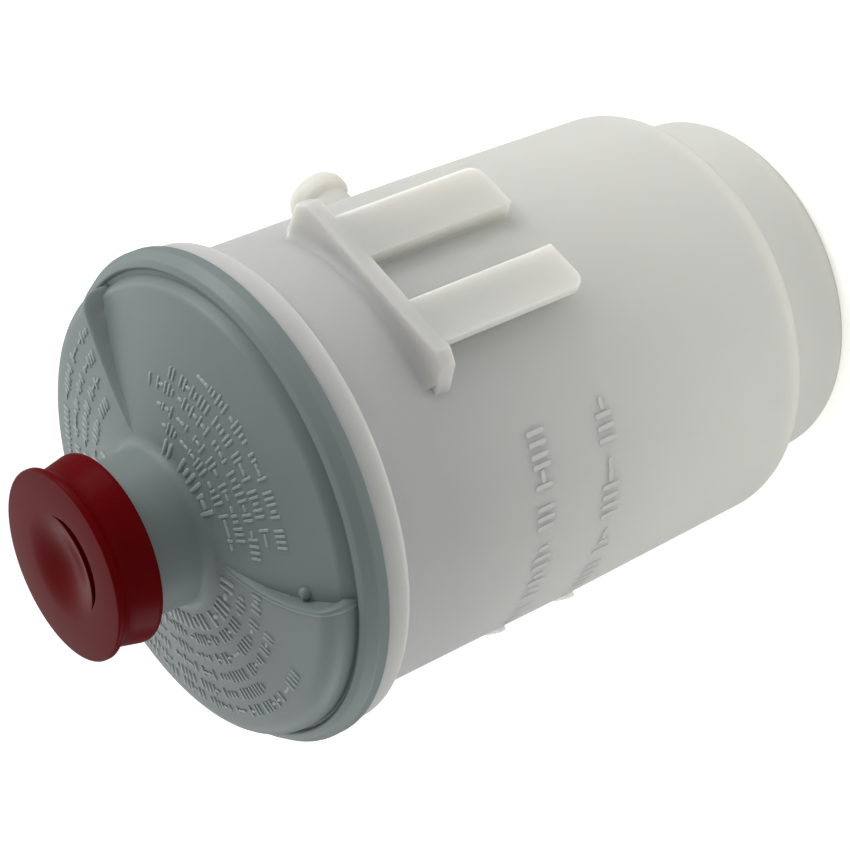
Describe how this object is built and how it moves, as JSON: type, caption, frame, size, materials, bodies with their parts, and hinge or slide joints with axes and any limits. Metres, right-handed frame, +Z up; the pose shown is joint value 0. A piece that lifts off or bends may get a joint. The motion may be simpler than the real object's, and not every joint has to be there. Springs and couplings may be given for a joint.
{
  "type": "power steering reservoir",
  "caption": "Round upright power steering fluid reservoir with a stepped welded lid, a filler neck with a push-on cap, two hose nipples and slide-in bracket rails.",
  "frame": {"origin": "centre of the tank's flat base, on its bottom face", "axes": "+Z up the tank's axis to the cap, +X along the return nipple, -Y to the bracket rails"},
  "size_m": [0.11, 0.1097, 0.1654],
  "materials": {
    "tank_plastic": "translucent natural moulded plastic, satin",
    "lid_plastic": "blue-grey moulded plastic, satin",
    "cap_plastic": "deep red moulded plastic, gloss",
    "seal_rubber": "matte black rubber",
    "strainer_plastic": "natural moulded plastic",
    "mesh_nylon": "fine woven nylon screen"
  },
  "bodies": {
    "reservoir": {"tank": "tank_plastic", "lid": "lid_plastic", "strainer_frame": "strainer_plastic", "strainer_mesh": "mesh_nylon"},
    "cap": {"cap": "cap_plastic", "cap_seal": "seal_rubber"}
  },
  "joints": [
    {"name": "cap_lift", "type": "slide", "parent": "reservoir", "child": "cap", "axis": [0, 0, 1], "range_m": [0, 0.03]}
  ]
}
